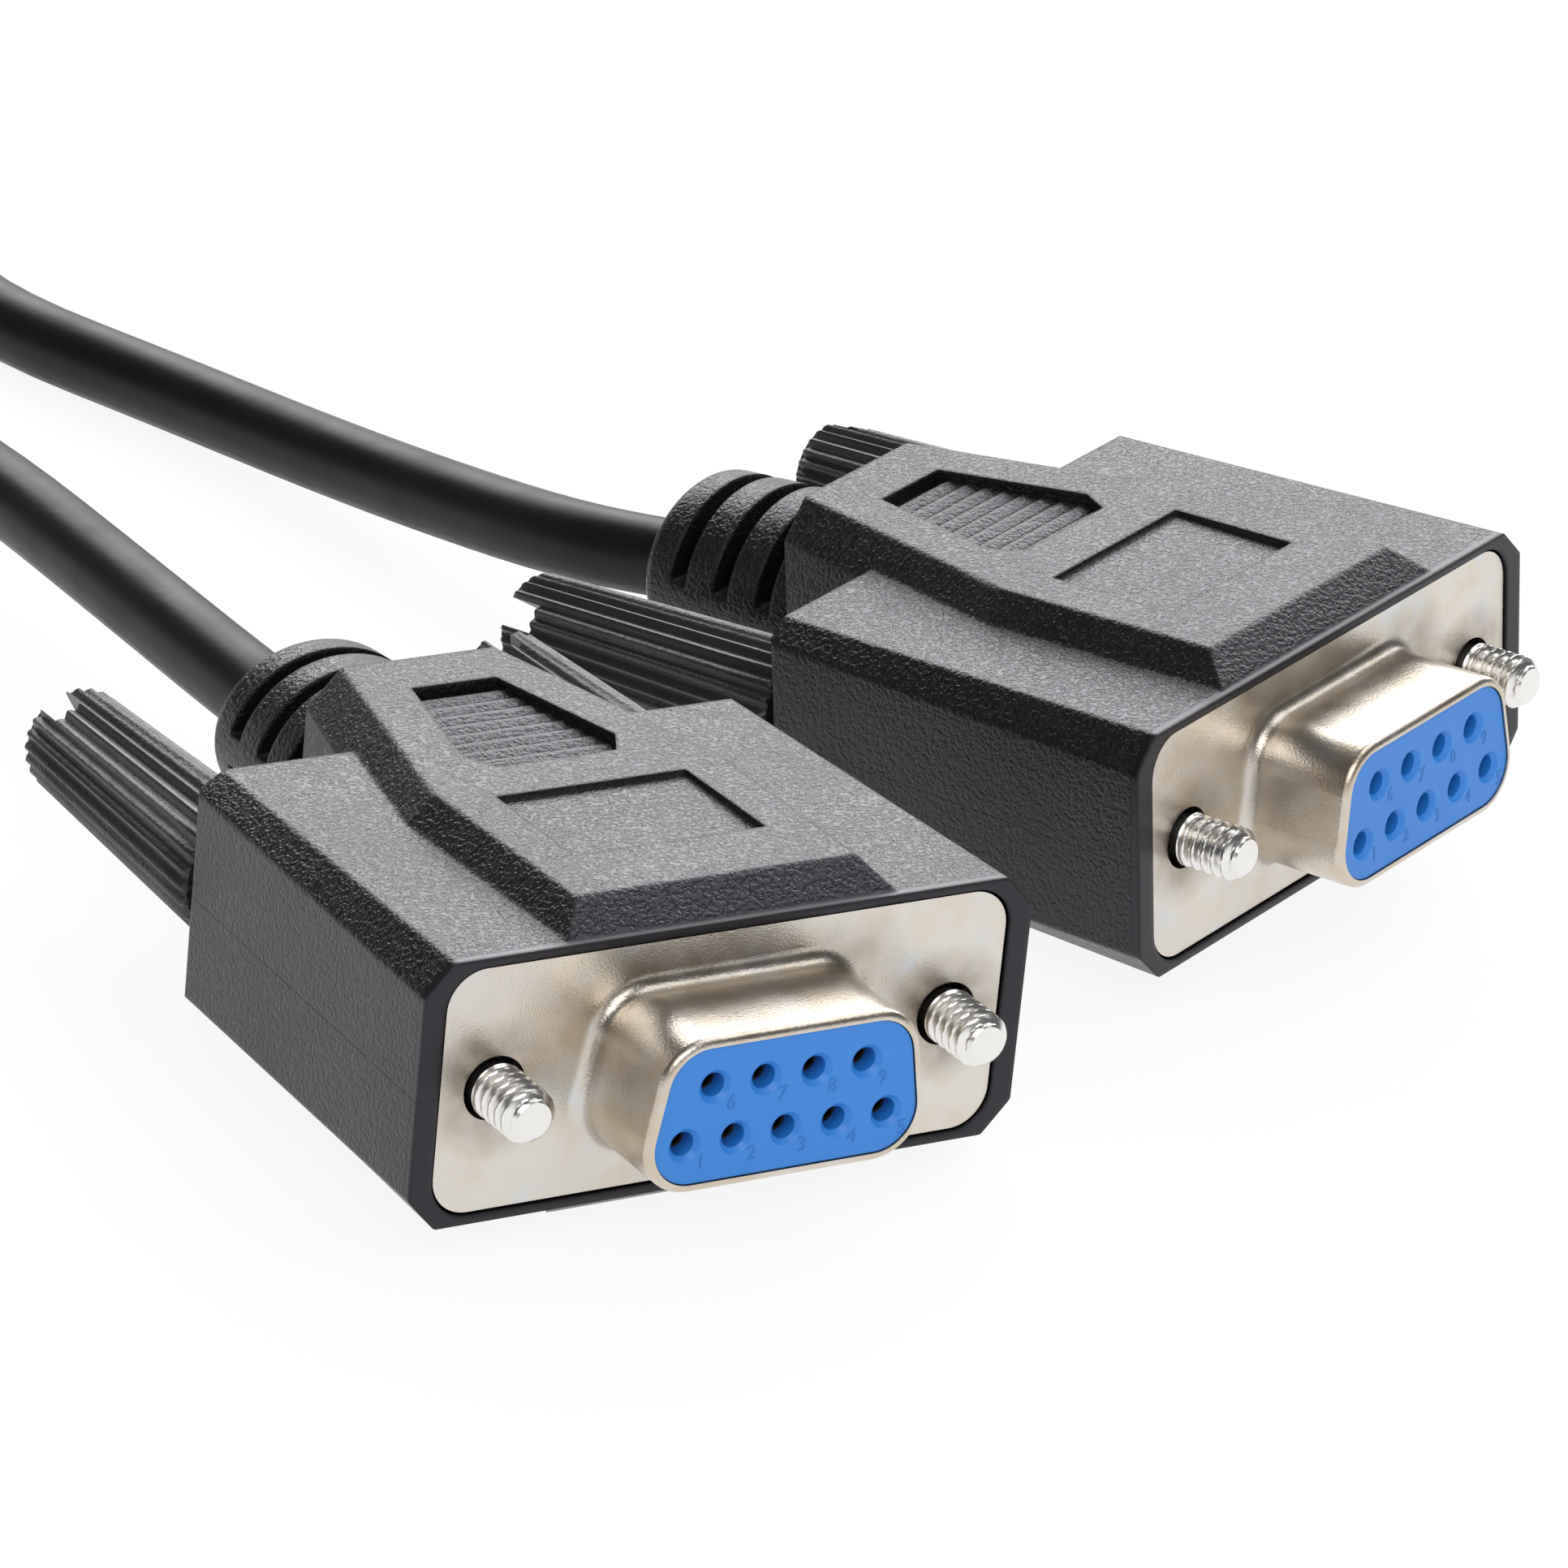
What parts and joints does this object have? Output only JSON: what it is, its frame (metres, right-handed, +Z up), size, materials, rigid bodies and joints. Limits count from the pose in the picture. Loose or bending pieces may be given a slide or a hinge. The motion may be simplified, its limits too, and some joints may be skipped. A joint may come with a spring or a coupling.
{
  "type": "null modem cable",
  "caption": "Null modem serial cable: round lead between moulded D-shaped socket connectors with ribbed thumbscrews and grooved strain reliefs.",
  "frame": {"origin": "centre of the flat underside of the first hood, which rests on the table", "axes": "+Z up, -Y the way the first connector's sockets face, +X to the right seen from its face towards the cable"},
  "size_m": [0.1029, 0.2081, 0.0194],
  "materials": {
    "hood_pvc": "fine spark-eroded grain",
    "plated_shell": "satin nickel plate",
    "blue_insulator": "satin",
    "dark_insulator": "satin",
    "contact_metal": "thin gold plate",
    "wire_insulation": "satin",
    "inner_moulding": "waxy",
    "screw_steel": "bright nickel plate",
    "clip_steel": "plain",
    "grip_plastic": "satin",
    "cable_sheath": "satin sheath"
  },
  "bodies": {
    "cable_assembly": {"hood_a": "hood_pvc", "front_shell_a": "plated_shell", "rear_shell_a": "plated_shell", "front_insulator_a": "blue_insulator", "rear_insulator_a": "dark_insulator", "contact_1_a": "contact_metal", "contact_2_a": "contact_metal", "contact_3_a": "contact_metal", "contact_4_a": "contact_metal", "contact_5_a": "contact_metal", "contact_6_a": "contact_metal", "contact_7_a": "contact_metal", "contact_8_a": "contact_metal", "contact_9_a": "contact_metal", "wire_ends_a": "wire_insulation", "inner_mould_a": "inner_moulding", "hood_b": "hood_pvc", "front_shell_b": "plated_shell", "rear_shell_b": "plated_shell", "front_insulator_b": "blue_insulator", "rear_insulator_b": "dark_insulator", "contact_1_b": "contact_metal", "contact_2_b": "contact_metal", "contact_3_b": "contact_metal", "contact_4_b": "contact_metal", "contact_5_b": "contact_metal", "contact_6_b": "contact_metal", "contact_7_b": "contact_metal", "contact_8_b": "contact_metal", "contact_9_b": "contact_metal", "wire_ends_b": "wire_insulation", "inner_mould_b": "inner_moulding", "cable_run_a": "cable_sheath", "cable_coil": "cable_sheath", "cable_run_b": "cable_sheath"},
    "clip_left_a": {"clip_left_a": "clip_steel"},
    "thumbscrew_left_a": {"jackscrew_left_a": "screw_steel", "thumb_grip_left_a": "grip_plastic"},
    "clip_right_a": {"clip_right_a": "clip_steel"},
    "thumbscrew_right_a": {"jackscrew_right_a": "screw_steel", "thumb_grip_right_a": "grip_plastic"},
    "clip_left_b": {"clip_left_b": "clip_steel"},
    "thumbscrew_left_b": {"jackscrew_left_b": "screw_steel", "thumb_grip_left_b": "grip_plastic"},
    "clip_right_b": {"clip_right_b": "clip_steel"},
    "thumbscrew_right_b": {"jackscrew_right_b": "screw_steel", "thumb_grip_right_b": "grip_plastic"}
  },
  "joints": [
    {"name": "screw_travel_left_a", "type": "slide", "parent": "cable_assembly", "child": "clip_left_a", "axis": [0, 1, 0], "range_m": [-0.0005, 0.0034]},
    {"name": "screw_turn_left_a", "type": "hinge", "parent": "clip_left_a", "child": "thumbscrew_left_a", "pos_m": [-0.01249, -0.01808, 0.00825], "axis": [0, 1, 0], "continuous": true},
    {"name": "screw_travel_right_a", "type": "slide", "parent": "cable_assembly", "child": "clip_right_a", "axis": [0, 1, 0], "range_m": [-0.0005, 0.0034]},
    {"name": "screw_turn_right_a", "type": "hinge", "parent": "clip_right_a", "child": "thumbscrew_right_a", "pos_m": [0.01249, -0.01808, 0.00825], "axis": [0, 1, 0], "continuous": true},
    {"name": "screw_travel_left_b", "type": "slide", "parent": "cable_assembly", "child": "clip_left_b", "axis": [-0.3317, 0.9417, -0.0565], "range_m": [-0.0005, 0.0034]},
    {"name": "screw_turn_left_b", "type": "hinge", "parent": "clip_left_b", "child": "thumbscrew_left_b", "pos_m": [0.03581, -0.00485, 0.00899], "axis": [-0.3317, 0.9417, -0.0565], "continuous": true},
    {"name": "screw_travel_right_b", "type": "slide", "parent": "cable_assembly", "child": "clip_right_b", "axis": [-0.3317, 0.9417, -0.0565], "range_m": [-0.0005, 0.0034]},
    {"name": "screw_turn_right_b", "type": "hinge", "parent": "clip_right_b", "child": "thumbscrew_right_b", "pos_m": [0.05914, 0.00355, 0.01207], "axis": [-0.3317, 0.9417, -0.0565], "continuous": true}
  ]
}
